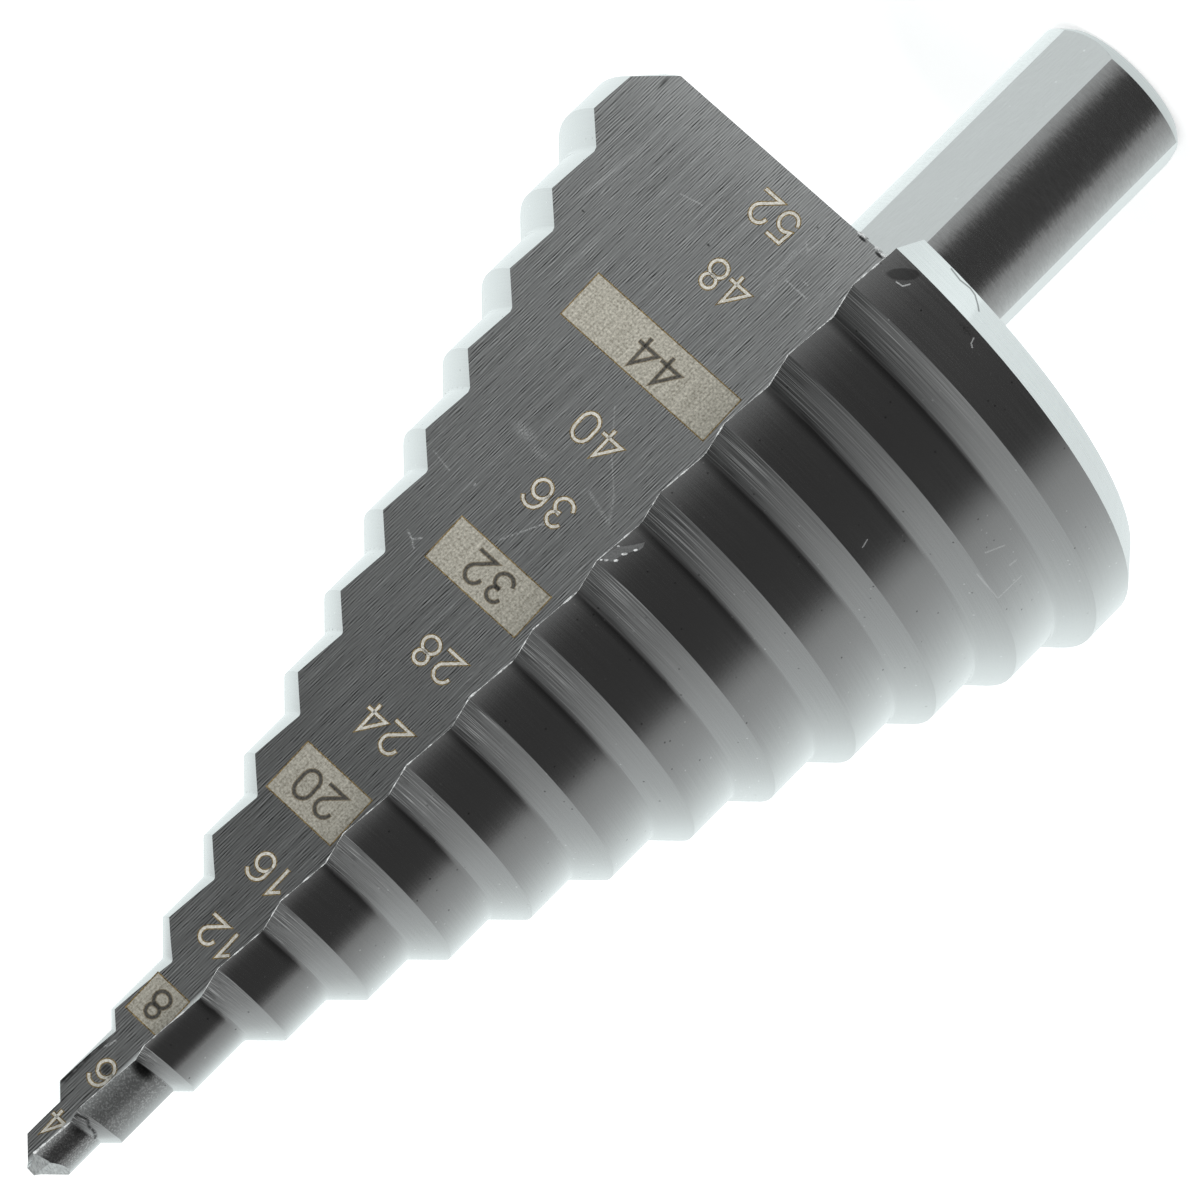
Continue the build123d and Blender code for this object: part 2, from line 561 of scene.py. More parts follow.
def make_lamp():
    """A soft lamp over the camera's shoulder, for dull surfaces. Metal shows the studio alone."""
    data = bpy.data.lights.new("soft_lamp", "SUN")
    data.energy = LAMP_STRENGTH
    data.angle = math.radians(LAMP_SOFTNESS)
    lamp = bpy.data.objects.new("soft_lamp", data)
    bpy.context.scene.collection.objects.link(lamp)
    lamp.rotation_euler = (math.radians(90 - LAMP_HEIGHT), 0, math.radians(LAMP_TURN + 90))
    lamp.visible_glossy = False


def make_floor():
    """A plain white floor that keeps the drill's shadow. Metal sees the studio past it."""
    half = FLOOR_SIZE / 2
    corners = [(-half, -half, 0), (half, -half, 0), (half, half, 0), (-half, half, 0)]
    mesh = bpy.data.meshes.new("floor")
    mesh.from_pydata(corners, [], [(0, 1, 2, 3)])
    floor = bpy.data.objects.new("floor", mesh)
    bpy.context.scene.collection.objects.link(floor)
    material, tree = new_material("floor_white")
    rays = add(tree, "ShaderNodeLightPath")
    seen = Signal(tree, rays.outputs["Is Camera Ray"])
    white = add(tree, "ShaderNodeBsdfDiffuse", {"Color": (FLOOR_WHITE, FLOOR_WHITE, FLOOR_WHITE, 1)})
    glow_inputs = {"Color": (1, 1, 1, 1), "Strength": plain(seen * FLOOR_GLOW)}
    glow = add(tree, "ShaderNodeEmission", glow_inputs)
    lit = add(tree, "ShaderNodeAddShader", {0: white.outputs[0], 1: glow.outputs[0]})
    through = add(tree, "ShaderNodeBsdfTransparent")
    inputs = {0: rays.outputs["Is Glossy Ray"], 1: lit.outputs[0], 2: through.outputs[0]}
    surface = add(tree, "ShaderNodeMixShader", inputs)
    output = add(tree, "ShaderNodeOutputMaterial")
    tree.links.new(surface.outputs[0], output.inputs["Surface"])
    mesh.materials.append(material)


# Finishes of the drill itself


def scratches(u, v, rows):
    """Scratches from rows of (places, width, strength)."""
    return most([path(u, v, places, width, strength) for places, width, strength in rows])


def spots(u, v, rows):
    """Spots from rows of (centre, half sizes, strength) with or without their hard share."""
    return most([spot(u, v, *row) for row in rows])


def wall_stain(tree, u, v):
    """A dark stain along the heel of the second step."""
    stain = path(u, v, WALL_STAIN, WALL_STAIN_WIDTH)
    return stain * grain(tree, u * 4.0, v * 1.5, 2.0).fade(0.35, 0.6, 0.55, 1.0)


def wall_steel():
    """Flute walls: ground in short slanting lines and scratched, with a painted reflection paler
    towards the rim, a painted highlight and painted shadows under lumps.
    """
    material, tree = new_material("wall_steel")
    u, v, side = place_on_wall(tree)

    # Waves across the wall, whose phase wanders, are broken up into short lines
    drift = grain(tree, u * 0.1, v * 0.03, side) * 0.10
    across = u + v * LINE_SLANT + drift
    phase = across * 5.2 + grain(tree, across * 1.2, v * 0.22, side) * 1.6
    ground = (phase * (2 * math.pi)).math("SINE")
    broken = swing(tree, across * 4.0, v * 0.9, side + 8.0, detail=1.0).fade(-0.7, 1.0, 0.25, 1.0)
    fine = ground * broken
    crisp = swing(tree, across * 13.0, v * 0.12, side + 3.0, detail=0.0)
    cloud = grain(tree, u * 0.35, v * 0.25, side + 5.0) - 0.5
    patch = grain(tree, u * 0.7, v * 0.5, side + 9.0).fade(0.35, 0.65, 0.6, 1.3)
    lines = (fine * 0.58 + crisp * 0.18) * patch + cloud * 0.08

    # Painted reflection: the wall gets paler away from the point, following the brighter studio it
    # reflects there
    tone_with_painted_reflection = v.fade(34.0, 66.0, 0.295, 0.487, smooth=False) + v.fade(10.0, 28.0, 0.05, 0.0)
    tone_with_painted_reflection = tone_with_painted_reflection + v.fade(66.0, 79.0, 0.0, 0.105, smooth=False) + v.fade(79.0, 85.0, 0.0, 0.18)

    # Wear, the painted highlight and the painted shadows are on the near wall alone
    near = side.fade(0.0, 1.0, 0.0, 1.0)
    # Painted highlight: a pale line along a curved step in the grind
    from_u = u - STEP_HIGHLIGHT_CENTRE[0]
    from_v = v - STEP_HIGHLIGHT_CENTRE[1]
    inward = STEP_HIGHLIGHT_RADIUS - (from_u * from_u + from_v * from_v).math("SQRT")
    streak = inward.fade(-0.05, 0.08, 0.0, 1.0) * inward.fade(0.08, 0.5, 1.0, 0.0)
    streak = streak * v.fade(72.0, 76.0, 0.0, 1.0) * v.fade(80.5, 83.0, 1.0, 0.0)
    worn = most([scratches(u, v, WALL_SCRATCHES), spots(u, v, WALL_SCUFFS)])
    worn = worn * grain(tree, u * 7.0, v * 7.0, 1.0).fade(0.4, 0.6, 0.1, 1.0)
    tone = tone_with_painted_reflection * (1.0 + lines) + (worn * 0.75 + streak * 0.22) * near
    # Dark pits, a stain, and painted shadows under the back edge's lumps
    dark = most([spots(u, v, WALL_PITS_AND_LUMP_SHADOWS), wall_stain(tree, u, v)])
    tone = tone * (1.0 - dark * near * 0.85)
    finish_metal(tree, tone, fine * 0.04 + 0.30, fine, 0.003)
    return material


def rake_steel():
    """Rake faces behind the lips, ground like the walls."""
    material, tree = new_material("rake_steel")
    x, y, z = place_in_mm(tree)
    rake = math.radians(RAKE_TURN)
    outward = y * math.cos(rake) - x * math.sin(rake)
    fine = swing(tree, (outward + z * LINE_SLANT) * 8.5, z * 0.4, 2.0)
    coarse = swing(tree, outward * 2.6, z * 0.05, 6.0)
    tone = (1.0 + fine * 0.15 + coarse * 0.08) * 0.50
    finish_metal(tree, tone, fine * 0.04 + 0.30, fine, 0.003)
    return material


def worn_steps_and_root_shade(tone, small, second, behind, from_point, pocks):
    """The first two steps are pocked, and the second has a band of painted shade before its root."""
    pocked = pocks.fade(-0.2, 1.0, -0.10, 0.55) * small * behind.fade(40.0, 75.0, 1.0, 0.15)
    tone = tone * (1.0 + pocked)
    band = spot(behind, from_point, (15.0, 10.25), 24.0, 0.8, 0.85, hard=0.3)
    return tone * (1.0 - band * second)


def rim_dirt(tree, arc_length, from_point):
    """A stain whose length runs askew, and a broken smudge, on the near rim land."""
    ragged = grain(tree, arc_length * 1.5, from_point * 1.5, 3.0) * 0.5 - 0.25
    askew = (RIM_STAIN[0] + RIM_STAIN[1], RIM_STAIN[0] - RIM_STAIN[1])
    along = arc_length + from_point + ragged
    stain = spot(along, arc_length - from_point, askew, 1.80, 0.68, 0.62, hard=0.75)
    smudge = spot(arc_length, from_point, RIM_SMUDGE, 0.9, 0.45, 0.6)
    broken = grain(tree, arc_length * 6.0, from_point * 6.0, 0.0).fade(0.45, 0.6, 0.0, 1.0)
    return stain + smudge * broken


def pilot_root_shade(tree, behind, from_point, radius):
    """Painted shade: a ragged dark line round the pilot's concave root."""
    places = [(turn * PILOT_ROOT_SHADE_DEGREE, place) for turn, place in PILOT_ROOT_SHADE]
    pilot_shade = path(behind * PILOT_ROOT_SHADE_DEGREE, from_point, places, 0.17)
    pilot_shade = pilot_shade * grain(tree, behind * 0.2, from_point * 6.0, 9.0).fade(0.35, 0.5, 0.2, 1.0)
    return pilot_shade * radius.fade(3.2, 3.5, 1.0, 0.0)


def turned_steel():
    """Lands and shoulders: polished, with turning lines that are dark and coarse behind the lips, and
    painted shade in the roots.
    """
    material, tree = new_material("turned_steel")
    behind, from_point, radius, land = place_on_land(tree)
    relief = behind.fade(0.0, RELIEF_ANGLE, RELIEF_DROP, 0.0, smooth=False)
    step_place = from_point + relief
    root = (step_place - FIRST_ROOT).math("PINGPONG", STEP_PITCH / 2)
    lean = seen_lean(tree).fade(0.05, 0.66, 0.0, SHOULDER_LEAN, smooth=False)
    relief_slope = RELIEF_DROP / math.radians(RELIEF_ANGLE)
    slip = -(lean * behind.fade(65.0, 85.0, relief_slope, 0.0) / radius)
    normal = turned_normal(tree, lean, slip)
    shoulder = lean.fade(0.2, 0.6, 0.0, 1.0)
    size = radius.fade(4.0, 23.0, 0.0, 1.0, smooth=False)
    on_rim = radius.fade(25.0, 25.5, 0.0, 1.0)
    this_land = land.fade(0.0, 1.0, 0.0, 1.0)

    # Turning lines, the shoulders darker behind the lips, and painted shade in the concave roots
    near_lip = behind.fade(0.0, 42.0, 1.0, 0.0)
    lip_dark = shoulder * near_lip * size * 0.58
    streak = swing(tree, (step_place - behind * 0.006) * 9.0, behind * 0.05, land, detail=1.0)
    fine = swing(tree, (step_place - behind * 0.004) * 15.0, behind * 0.04, land + 2.0, detail=0.0)
    scored = fine.fade(0.3, 1.0, -0.35, 1.1) * behind.fade(0.0, 28.0, 1.0, 0.0)
    patchy = grain(tree, from_point * 0.8, behind * 0.09, land + 4.0).fade(0.35, 0.65, 0.25, 1.0)
    streaks = (streak * near_lip * 0.28 + scored) * patchy * shoulder
    # Painted shade: the concave roots beside each shoulder are darkened, most of all behind the lips
    by_root_painted_shade = root.fade(0.0, 1.4, 1.0, 0.0) * behind.fade(5.0, 26.0, 1.0, 0.0) * size
    root_painted_shade = root.fade(0.15, 0.85, 0.55, 0.0) * behind.fade(14.0, 50.0, 1.0, 0.0)
    root_painted_shade = root_painted_shade * (1.0 - shoulder * 0.6) * (1.0 - on_rim)
    tone = STEEL * (1.0 - lip_dark) * (1.0 - root_painted_shade) * (1.0 - by_root_painted_shade * shoulder * 0.35)
    tone = tone * (1.0 + streaks + fine * 0.02)

    # Specks, and the wear of the first two steps
    x, y, z = place_in_mm(tree)
    bright = dots(tree, x * 0.9, y * 0.9, z * 0.9, 0.095)
    dark = dots(tree, x * 0.8 + 5.3, y * 0.8, z * 0.8, 0.09)
    tone = tone * (1.0 - dark * 0.75) + bright * 0.30
    small = radius.fade(3.2, 3.8, 1.0, 0.0) * (1.0 - shoulder)
    second = radius.fade(2.6, 2.9, 0.0, 1.0) * small
    pocks = swing(tree, x * 7.0, y * 7.0, z * 7.0)
    tone = worn_steps_and_root_shade(tone, small, second, behind, from_point, pocks)

    # Painted reflection: the dark band that the lands reflect ends sooner behind the lip on the small
    # steps than on the large ones
    late = behind.fade(29.0, 37.0, 0.0, 1.0) * behind.fade(37.0, 46.0, 1.0, 0.0) * (1.0 - shoulder)
    tone = tone * (1.0 + late * size.fade(0.0, 1.0, 0.25, -0.40, smooth=False))

    # Marks of use, a painted sheen on the rim land behind the lip, and painted shade in the pilot's
    # root
    arc_length = behind * radius * math.radians(1.0)
    # Painted reflection: the rim land is lighter just behind the lip, where it turns more towards the
    # bright side
    rim_painted_sheen = behind.fade(0.0, 8.0, 0.10, 0.45) * behind.fade(16.0, 38.0, 1.0, 0.0)
    tone = tone * (1.0 + rim_painted_sheen * on_rim)
    tone = tone * (1.0 - rim_dirt(tree, arc_length, from_point) * on_rim * this_land * 0.75)
    scratch = scratches(arc_length, from_point, LAND_SCRATCHES) * this_land
    tone = tone + scratch * 0.35
    # Painted shade in the pilot's root
    tone = tone * (1.0 - pilot_root_shade(tree, behind, from_point, radius) * this_land * 0.85)

    lip_grind = behind.fade(0.0, 12.0, 1.0, 0.0) * size
    roughness = fine * 0.02 + 0.18 + lip_grind * 0.05 + shoulder * 0.05 + small * 0.07 + second * 0.22
    mottle = grain(tree, x * 5.0, y * 5.0, z * 5.0)
    height = fine * 0.2 + (streak + fine) * near_lip * shoulder + mottle * 0.7 + pocks * small * 0.8
    metallic = plain(1.0 - scratch * 0.5)
    finish(tree, steel_colour(tree, tone), metallic, roughness, height, 0.004, normal)
    return material


def chamfer_steel():
    """The chamfer behind the rim, bright, with turning lines and, behind the lip, a ground facet shown
    by painted reflection with a painted dark line along its edge.
    """
    material, tree = new_material("chamfer_steel")
    behind, from_point, _, land = place_on_land(tree)
    fine = swing(tree, from_point * 10.0, behind * 0.05, land)
    patch = grain(tree, from_point * 0.7, behind * 0.5, land + 4.0)
    places = [(turn * WHEEL_FACET_EDGE_DEGREE, place) for turn, place in WHEEL_FACET_EDGE]
    edge = path(behind * WHEEL_FACET_EDGE_DEGREE, from_point, places, 0.12)
    near = land.fade(0.0, 1.0, 0.0, 1.0)
    # Painted reflection: a ground facet behind the lip that the shape lacks is drawn lighter, and its
    # edge as a painted dark line
    facet = behind.fade(15.5, 16.5, 1.0, 0.0) * behind.fade(0.0, 13.0, 0.0, 1.0) * near
    tone = STEEL * (1.10 + fine * 0.03 + (patch - 0.5) * 0.08 + facet * 0.14)
    tone = tone * (1.0 - edge * near * 0.7)
    finish_metal(tree, tone, fine * 0.02 + 0.28, fine, 0.002, turned_normal(tree, seen_lean(tree)))
    return material


def faced_steel():
    """Flat back of the body and the end of the shank, faced in circles."""
    material, tree = new_material("faced_steel")
    x, y, z = place_in_mm(tree)
    radius = (x * x + y * y).math("SQRT")
    rings = swing(tree, radius * 8.0, z * 0.2, 0.0)
    tone = (1.0 + rings * 0.08) * STEEL * 0.9
    finish_metal(tree, tone, rings * 0.03 + 0.32, rings, 0.003)
    return material


def shank_steel():
    """Round of the shank, ground in fine streaks across the axis."""
    material, tree = new_material("shank_steel")
    x, y, z = place_in_mm(tree)
    fine = swing(tree, x * 1.1, y * 1.1, z * 7.0)
    mottle = swing(tree, x * 2.2, y * 2.2, z * 4.0)
    bright = dots(tree, x * 0.5, y * 0.5, z * 0.5, 0.055)
    dark = dots(tree, x * 0.5 + 3.1, y * 0.5, z * 0.5, 0.055)
    tone = (1.0 + fine * 0.03 + mottle * 0.02) * STEEL * 1.21
    tone = tone * (1.0 - dark * 0.6) + bright * 0.3
    ragged = swing(tree, x * 0.9, y * 0.9, z * 7.0, detail=1.0)
    normal = turned_normal(tree, seen_lean(tree), ragged * 0.015)
    finish_metal(tree, tone, fine * 0.02 + 0.20, fine + mottle, 0.0011, normal)
    return material


def flat_steel():
    """Flats of the shank: satin, with a few specks."""
    material, tree = new_material("flat_steel")
    x, y, z = place_in_mm(tree)
    fine = swing(tree, x * 6.0, y * 6.0, z * 1.2)
    cloud = grain(tree, x * 0.5, y * 0.5, z * 0.4) - 0.5
    dark = dots(tree, x * 0.5, y * 0.5, z * 0.5, 0.075)
    bright = dots(tree, x * 0.5 + 2.0, y * 0.5, z * 0.5 + 4.0, 0.075)
    tone = (1.0 + fine * 0.015 + cloud * 0.06) * STEEL * 1.16
    tone = tone * (1.0 - dark * 0.75) + bright * 0.2
    finish_metal(tree, tone, fine * 0.02 + 0.30, fine, 0.002)
    return material


def point_steel():
    """Ground facets of the point, coarse and bright."""
    material, tree = new_material("point_steel")
    x, y, z = place_in_mm(tree)
    fine = swing(tree, x * 7.0 + y * 3.0, y * 2.0, z * 6.0)
    tone = (1.0 + fine * 0.25) * STEEL
    finish_metal(tree, tone, fine * 0.05 + 0.32, fine, 0.008)
    return material


def ground_looks():
    """Where the ground faces of both flutes look, with the finish of each."""
    ground = [
        (WALL_TURN, WALL_TAPER, "wall_steel"),
        (RAKE_TURN, RAKE_TAPER, "rake_steel"),
        (LIP_FACET_TURN, LIP_FACET_TAPER, "point_steel"),
        (HEEL_FACET_TURN, HEEL_FACET_TAPER, "point_steel"),
    ]
    half_turn = Matrix.Rotation(math.pi, 3, "Z")
    looks = [(turned_vector(turn, taper), kind) for turn, taper, kind in ground]
    return looks + [(half_turn @ look, kind) for look, kind in looks]


def face_kind(place, normal, looks):
    """The finish of a face, from its middle in millimetres and its normal."""
    radius = math.hypot(place.x, place.y)
    if place.z < SHANK_LENGTH - FACE_MARGIN and radius < SHANK_RADIUS + SHANK_MARGIN:
        if normal.z < -END_LEAN:
            return "faced_steel"
        on_flat = radius < SHANK_RADIUS - SHANK_MARGIN and abs(normal.z) < LEVEL_LEAN
        return "flat_steel" if on_flat else "shank_steel"
    if normal.z < -BACK_LEAN:
        return "faced_steel"
    at_point = place.z > OVERALL - POINT_BACK
    for look, kind in looks:
        if normal.dot(look) > SAME_LOOK and (at_point or kind != "point_steel"):
            return kind
    if normal.z < -CHAMFER_LEAN:
        return "chamfer_steel"
    outward = normal.x * place.x + normal.y * place.y
    if outward < TURNED_LOOK * radius * math.hypot(normal.x, normal.y):
        return "rake_steel"
    return "turned_steel"


def dress_drill():
    """Gives each face of the drill the finish of its place."""
    makers = [
        turned_steel,
        wall_steel,
        rake_steel,
        chamfer_steel,
        faced_steel,
        shank_steel,
        flat_steel,
        point_steel,
    ]
    kinds = {make.__name__: index for index, make in enumerate(makers)}
    mesh = DRILL.data
    mesh.materials.clear()
    for make in makers:
        mesh.materials.append(make())
    looks = ground_looks()
    for face in mesh.polygons:
        face.material_index = kinds[face_kind(face.center / MM, face.normal, looks)]


def turned_vector(turn, taper):
    """Unit vector that looks along a turn and leans towards the point by a taper."""
    angle = math.radians(turn)
    return Vector((math.cos(angle), math.sin(angle), math.tan(math.radians(taper)))).normalized()


# Size marks


def arc(centre_x, centre_y, radius_x, radius_y, start, end):
    """Points of an arc, from its start to its end angle."""
    count = max(3, math.ceil(abs(end - start) / ARC_STEP))
    points = []
    for n in range(count + 1):
        turn = math.radians(start + (end - start) * n / count)
        points.append((centre_x + radius_x * math.cos(turn), centre_y + radius_y * math.sin(turn)))
    return points


def digit_strokes():
    """Strokes of each digit in a box one unit high: a list of (points, closed)."""
    oval = arc(0.36, 0.66, 0.31, 0.34, 0, 180) + arc(0.36, 0.34, 0.31, 0.34, 180, 360)
    hook = arc(0.34, 0.69, 0.30, 0.31, 170, -38)
    sweep = [(0.05, 0.31)] + arc(0.40, 0.63, 0.35, 0.37, 170, 35)
    belly = arc(0.34, 0.32, 0.31, 0.32, 128, -165)
    return {
        "0": [(oval, True)],
        "1": [([(0.05, 0.72), (0.33, 1.0), (0.33, 0.0)], False)],
        "2": [(hook + [(0.03, 0.0), (0.70, 0.0)], False)],
        "3": [
            (arc(0.33, 0.76, 0.25, 0.24, 165, -90), False),
            (arc(0.33, 0.28, 0.31, 0.28, 90, -165), False),
        ],
        "4": [([(0.53, 0.0), (0.53, 1.0), (0.0, 0.27), (0.76, 0.27)], False)],
        "5": [([(0.64, 1.0), (0.13, 1.0), (0.07, 0.54)] + belly, False)],
        "6": [(arc(0.35, 0.31, 0.30, 0.31, 0, 360)[:-1], True), (sweep, False)],
        "8": [
            (arc(0.34, 0.77, 0.24, 0.23, 0, 360)[:-1], True),
            (arc(0.34, 0.28, 0.30, 0.28, 0, 360)[:-1], True),
        ],
    }


def wall_point(u, v, lift):
    """A place on the near flute wall, in metres: outward, from the point, and above the surface."""
    turn = math.radians(WALL_TURN)
    outward = Vector((math.cos(turn), math.sin(turn), 0))
    across = Vector((-math.sin(turn), math.cos(turn), 0))
    normal = turned_vector(WALL_TURN, WALL_TAPER)
    depth = math.tan(math.radians(WALL_TAPER)) * v
    return (across * u + outward * depth + Vector((0, 0, OVERALL - v)) + normal * lift) * MM


def band_edges(points, closed, half_width):
    """The two sides of a band along a line, with mitred corners."""
    left = []
    right = []
    count = len(points)
    for index, point in enumerate(points):
        here = Vector(point)
        before = Vector(points[index - 1]) if closed or index > 0 else None
        after = Vector(points[(index + 1) % count]) if closed or index < count - 1 else None
        runs = [(here - before).normalized()] if before is not None else []
        runs += [(after - here).normalized()] if after is not None else []
        run = sum(runs, Vector((0, 0))).normalized()
        reach = half_width / max(MITRE_LIMIT, run.dot(runs[0]))
        side = Vector((-run.y, run.x)) * reach
        end = Vector((0, 0))
        if before is None:
            end = -run * half_width * STROKE_CAP
        if after is None:
            end = run * half_width * STROKE_CAP
        left.append(here + side + end)
        right.append(here - side + end)
    return left, right


def plate(name, bands, low, high, material):
    """A thin closed piece on the wall made of bands: (left side, right side, closed)."""
    verts = []
    faces = []
    for left, right, closed in bands:
        first = len(verts)
        count = len(left)
        for a, b in zip(left, right):
            verts += [
                wall_point(a.x, a.y, high),
                wall_point(b.x, b.y, high),
                wall_point(b.x, b.y, low),
                wall_point(a.x, a.y, low),
            ]
        for index in range(count if closed else count - 1):
            here = first + 4 * index
            there = first + 4 * ((index + 1) % count)
            for corner in range(4):
                after = (corner + 1) % 4
                faces.append((here + corner, there + corner, there + after, here + after))
        if not closed:
            last = first + 4 * (count - 1)
            faces.append((first, first + 1, first + 2, first + 3))
            faces.append((last + 3, last + 2, last + 1, last))
    mesh = bpy.data.meshes.new(name)
    mesh.from_pydata(verts, [], faces)
    mesh.materials.append(material)
    return add_piece(name, mesh)


def add_piece(name, mesh):
    piece = bpy.data.objects.new(name, mesh)
    bpy.context.scene.collection.objects.link(piece)
    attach(piece, BODY)
    return piece


def digit_bands(text, left_edge, top_edge, height, slimness, width):
    """Bands of a whole mark, placed on the wall."""
    strokes = digit_strokes()
    bands = []
    for digit in text:
        for points, closed in strokes[digit]:
            width_share = height * slimness
            placed = [(left_edge + x * width_share, top_edge + (1 - y) * height) for x, y in points]
            bands.append((*band_edges(placed, closed, width / 2), closed))
        left_edge += DIGIT_ADVANCE.get(digit, USUAL_ADVANCE) * height
    return bands


def make_mark(mark, finishes):
    """One size mark, bright on the steel or dark on its pale field."""
    text = mark[0]
    if text not in FIELDS:
        rim = digit_bands(*mark, STROKE_EDGE_WIDTH)
        stroke = digit_bands(*mark, STROKE_WIDTH)
        plate(f"mark_{text}_edge", rim, -LAYER, LAYER, finishes["burnt"])
        plate(f"mark_{text}", stroke, -LAYER, 2 * LAYER, finishes["cream"])
        return
    left, right, top, bottom = FIELDS[text]
    corners = [(left, top), (right, top), (right, bottom), (left, bottom)]
    upper = [Vector((left, top)), Vector((right, top))]
    lower = [Vector((left, bottom)), Vector((right, bottom))]
    frame_band = (*band_edges(corners, True, FIELD_EDGE_WIDTH / 2), True)
    plate(f"field_{text}", [(upper, lower, False)], -LAYER, LAYER, finishes["field"])
    plate(f"field_{text}_edge", [frame_band], -LAYER, 2 * LAYER, finishes["burnt"])
    rim = digit_bands(*mark, DARK_STROKE_EDGE_WIDTH)
    stroke = digit_bands(*mark, DARK_STROKE_WIDTH)
    plate(f"mark_{text}_edge", rim, -LAYER, 2 * LAYER, finishes["singed"])
    plate(f"mark_{text}", stroke, -LAYER, 3 * LAYER, finishes["dark"])


def mark_finish(name, stops, scale, metallic=0.0, at_point=1.0):
    """A marked finish with a fine speckle between its colours, darker towards the point."""
    material, tree = new_material(name)
    u, v, side = place_on_wall(tree)
    speckle = grain(tree, u * scale, v * scale, side, detail=3.0)
    lines = grain(tree, (u + v * LINE_SLANT) * 8.0, v * 0.3, side)
    mixed = speckle * 0.7 + lines * 0.3
    level = v.fade(20.0, 70.0, at_point, 1.0, smooth=False)
    scaled = {0: mixed.colours(*stops), "Scale": plain(level)}
    colour = add(tree, "ShaderNodeVectorMath", scaled, operation="SCALE").outputs[0]
    finish(tree, colour, metallic, 0.5, speckle, 0.004)
    return material


def make_marks():
    cream = ((0.36, (0.52, 0.49, 0.42)), (0.60, (0.88, 0.86, 0.79)))
    burnt = ((0.38, (0.06, 0.040, 0.016)), (0.60, (0.46, 0.33, 0.14)))
    field = ((0.36, (0.27, 0.25, 0.20)), (0.64, (0.70, 0.67, 0.58)))
    singed = ((0.38, (0.14, 0.11, 0.065)), (0.62, (0.38, 0.32, 0.22)))
    dark = ((0.36, (0.04, 0.037, 0.031)), (0.64, (0.16, 0.15, 0.13)))
    finishes = {
        "cream": mark_finish("mark_cream", cream, 5.0, at_point=0.85),
        "burnt": mark_finish("mark_burnt", burnt, 6.0, metallic=0.3, at_point=0.85),
        "field": mark_finish("mark_field", field, 5.5, at_point=0.75),
        "singed": mark_finish("mark_singed", singed, 6.0, at_point=0.8),
        "dark": mark_finish("mark_dark", dark, 6.0, at_point=0.7),
    }
    for mark in MARKS:
        make_mark(mark, finishes)


# Burrs along the lips and on the near land


def lip_point(radius, from_point):
    """A place on the near lip, in millimetres."""
    reach = (RAKE_OFFSET + math.tan(math.radians(RAKE_TAPER)) * from_point) / radius
    turn = math.radians(RAKE_TURN) - math.acos(reach)
    return Vector((radius * math.cos(turn), radius * math.sin(turn), OVERALL - from_point))


def lip_line(spacing):
    """Places along the near lip, step by step, evenly spaced."""
    corners = []
    for radius, front, back in LANDS:
        corners += [(radius, front - RELIEF_DROP), (radius, back - RELIEF_DROP)]
    corners[0] = (LANDS[0][0], LIP_FRONT)
    corners[-1] = (RIM_RADIUS, BACK_CHAMFER_FRONT)
    places = []
    for (radius_a, from_a), (radius_b, from_b) in zip(corners, corners[1:]):
        count = max(1, round(math.hypot(radius_b - radius_a, from_b - from_a) / spacing))
        for n in range(count):
            share = n / count
            radius = radius_a + (radius_b - radius_a) * share
            places.append(lip_point(radius, from_a + (from_b - from_a) * share))
    places.append(lip_point(*corners[-1]))
    return places


def make_lip_burr(name, half_turns, material):
    """A fine, uneven bead of metal with a painted glint along one lip."""
    spin = Matrix.Rotation(math.pi * half_turns, 3, "Z")
    places = lip_line(BURR_SPACING)
    sides = BURR_SIDES
    verts = []
    for index, place in enumerate(places):
        before = places[max(0, index - 1)]
        after = places[min(len(places) - 1, index + 1)]
        run = (after - before).normalized()
        across = run.cross(Vector((0, 1, 0))).normalized()
        lift = across.cross(run)
        wave = noise.noise(place * 0.9 + Vector((7.0 * half_turns, 0, 0)))
        fine = noise.noise(place * 3.1)
        at_point = max(0.0, min(1.0, (place.z - OVERALL + POINT_SWELL_START) / POINT_SWELL_RUN))
        thick = BURR_THIN + BURR_SWELL * max(0.0, wave + 0.45 * fine + 0.10)
        thick += POINT_SWELL * at_point * (1.0 + fine)
        for side in range(sides):
            turn = 2 * math.pi * side / sides
            offset = across * math.cos(turn) + lift * math.sin(turn)
            verts.append(spin @ (place + offset * thick) * MM)
    faces = []
    for index in range(len(places) - 1):
        for side in range(sides):
            after = (side + 1) % sides
            here = index * sides
            faces.append((here + side, here + after, here + sides + after, here + sides + side))
    faces.append(tuple(range(sides - 1, -1, -1)))
    faces.append(tuple(range(len(verts) - sides, len(verts))))
    mesh = bpy.data.meshes.new(name)
    mesh.from_pydata(verts, [], faces)
    mesh.polygons.foreach_set("use_smooth", [True] * len(mesh.polygons))
    mesh.materials.append(material)
    return add_piece(name, mesh)


def burr_glint_steel():
    """Torn metal with a painted glint: near-white and hardly metallic, so that it looks lit from every
    side.
    """
    material, tree = new_material("burr_glint_steel")
    x, y, z = place_in_mm(tree)
    fine = grain(tree, x * 3.0, y * 3.0, z * 3.0)
    tone = fine.fade(0.38, 0.56, 0.45, 0.97)
    finish(tree, tinted(tree, tone, STEEL_TINT), 0.08, fine * 0.2 + 0.20, fine, 0.01)
    return material


def chip_steel():
    """A thin flake of smeared metal."""
    material, tree = new_material("chip_steel")
    x, y, z = place_in_mm(tree)
    fine = grain(tree, x * 9.0, y * 9.0, z * 9.0)
    tone = fine.fade(0.35, 0.65, 0.15, 0.22)
    finish(tree, tinted(tree, tone, STEEL_TINT), 0.2, fine * 0.1 + 0.4, fine, 0.004)
    return material


def land_point(behind, from_point, radius):
    """A place on the near land, in millimetres."""
    turn = math.radians(LIP_TURN - behind)
    return Vector((radius * math.cos(turn), radius * math.sin(turn), OVERALL - from_point))


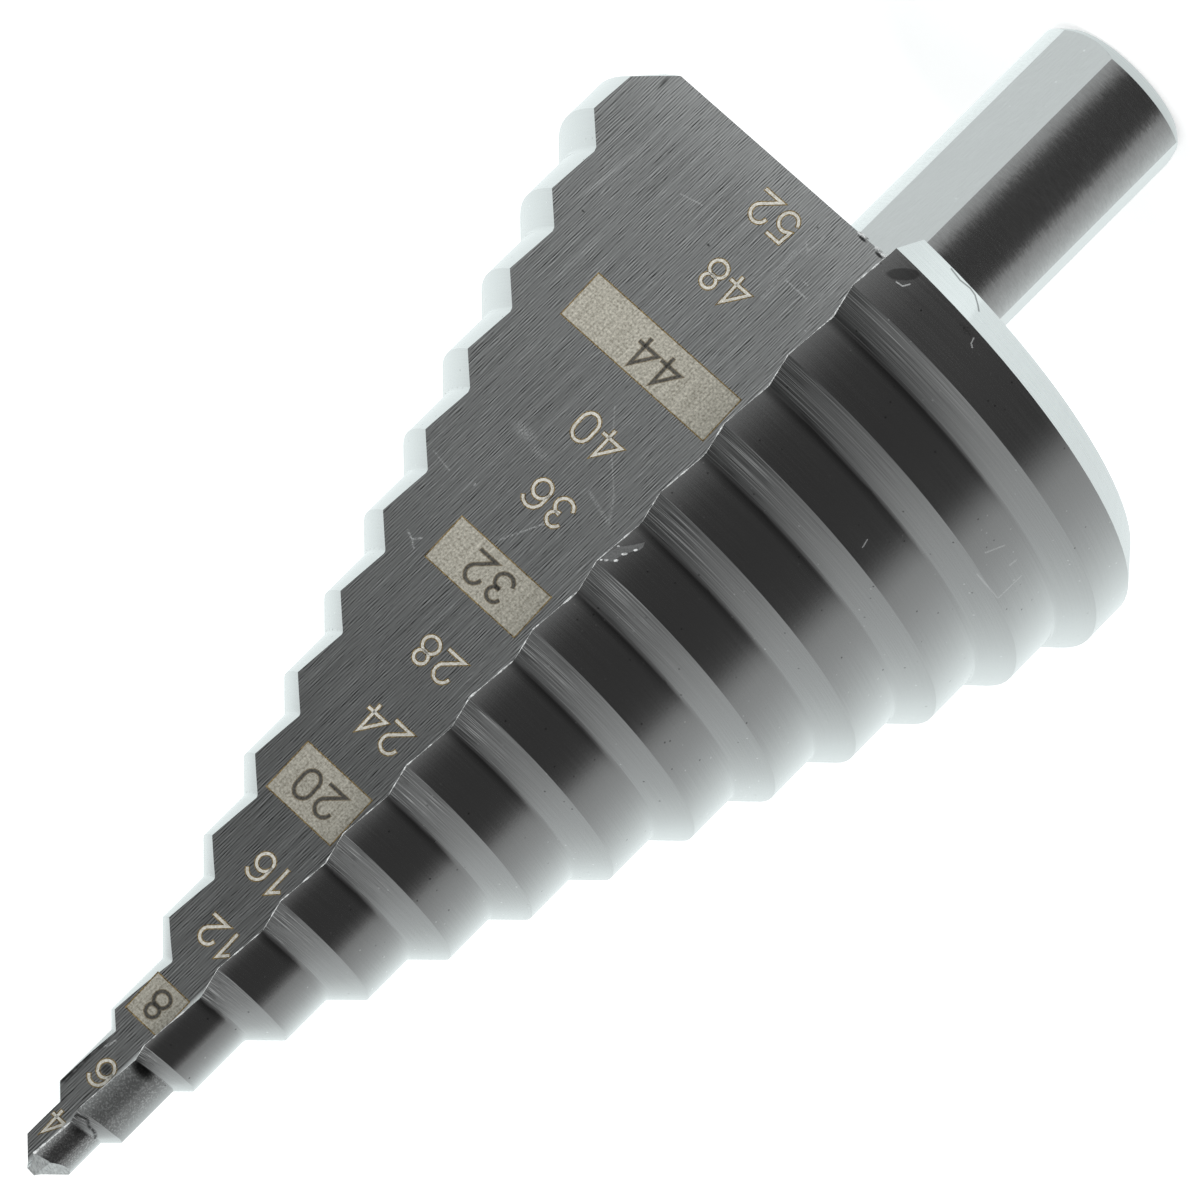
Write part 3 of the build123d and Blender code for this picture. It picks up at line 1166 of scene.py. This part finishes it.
def make_flake(name, outline, radius, thickness, material):
    """A thin flake on the near land, from rows of (degrees behind the lip, mm from the point)."""
    count = len(outline)
    verts = []
    for lift in (thickness, -thickness):
        verts += [land_point(turn, place, radius + lift) * MM for turn, place in outline]
    faces = [tuple(range(count)), tuple(range(2 * count - 1, count - 1, -1))]
    for index in range(count):
        after = (index + 1) % count
        faces.append((index, count + index, count + after, after))
    mesh = bpy.data.meshes.new(name)
    mesh.from_pydata(verts, [], faces)
    mesh.materials.append(material)
    return add_piece(name, mesh)


def make_beads(name, beads, material):
    """Small lumps of torn metal: (centre, half length, half width, direction of the length)."""
    made = bmesh.new()
    for centre, half_length, half_width, run in beads:
        turn = run.to_track_quat("X", "Z").to_matrix().to_4x4()
        size = Matrix.Diagonal((half_length * MM, half_width * MM, half_width * MM, 1))
        placed = Matrix.Translation(centre * MM) @ turn @ size
        bmesh.ops.create_icosphere(made, subdivisions=2, radius=1.0, matrix=placed)
    for vert in made.verts:
        vert.co += vert.co.normalized() * LUMP_UNEVENNESS * MM * noise.noise(vert.co / MM * 6.0)
    mesh = bpy.data.meshes.new(name)
    made.to_mesh(mesh)
    made.free()
    mesh.polygons.foreach_set("use_smooth", [True] * len(mesh.polygons))
    mesh.materials.append(material)
    return add_piece(name, mesh)


def make_chip(bright, dull):
    """A flake of metal with beads of painted glint, smeared on the near land beside the lip."""
    make_flake("chip_flake", CHIP_OUTLINE, CHIP_RADIUS, CHIP_THICKNESS, dull)
    beads = []
    for turn, place, half_length, half_width in CHIP_BEADS:
        centre = land_point(turn, place, CHIP_RADIUS + CHIP_THICKNESS)
        beads.append((centre, half_length, half_width, CHIP_BEAD_RUN))
    make_beads("chip_beads", beads, bright)


def make_back_burr(material):
    """Lumps torn up along the back edge of the near flute wall, with a painted glint."""
    beads = []
    for u, v, half_length, half_width in BACK_BURR:
        beads.append((wall_point(u, v, 0.0) / MM, half_length, half_width, BACK_BURR_RUN))
    make_beads("back_burr", beads, material)


make_camera()
make_world()
make_lamp()
make_floor()
dress_drill()
make_marks()
# The burrs' near-white colour is a painted glint
burr = burr_glint_steel()
make_chip(burr, chip_steel())
make_back_burr(burr)
make_lip_burr("lip_burr_near", 0, burr)
make_lip_burr("lip_burr_far", 1, burr)

bpy.context.scene.view_settings.view_transform = "Standard"
